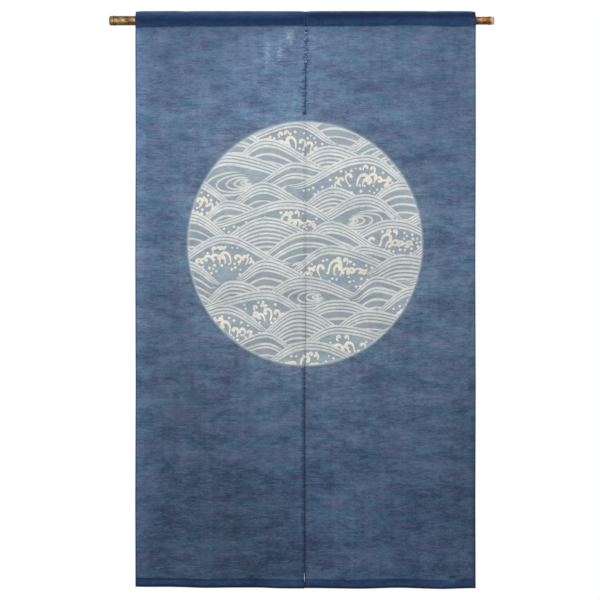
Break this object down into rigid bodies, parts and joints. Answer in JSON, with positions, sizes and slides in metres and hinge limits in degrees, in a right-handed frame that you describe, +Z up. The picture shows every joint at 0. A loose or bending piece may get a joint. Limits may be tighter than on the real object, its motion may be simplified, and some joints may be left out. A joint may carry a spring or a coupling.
{
  "type": "noren curtain on its bamboo rod",
  "caption": "Split doorway curtain of indigo hemp with a pale round wave design, its folded top pocket hung on a tapered bamboo rod.",
  "frame": {"origin": "on the rod's axis, where the centre seam crosses it", "axes": "+Z up, +X along the rod to its thin end (to the right seen from the front), -Y towards the viewer of the front"},
  "size_m": [1, 0.029, 1.502],
  "materials": {
    "bamboo": "mottled brown bamboo skin, lightly polished",
    "indigo_cloth": "matt, slightly open plain-weave hemp with slubs, indigo with a pale resist-dyed round design"
  },
  "bodies": {
    "root": {"rod": "bamboo", "panel_left": "indigo_cloth", "panel_right": "indigo_cloth"}
  },
  "joints": []
}
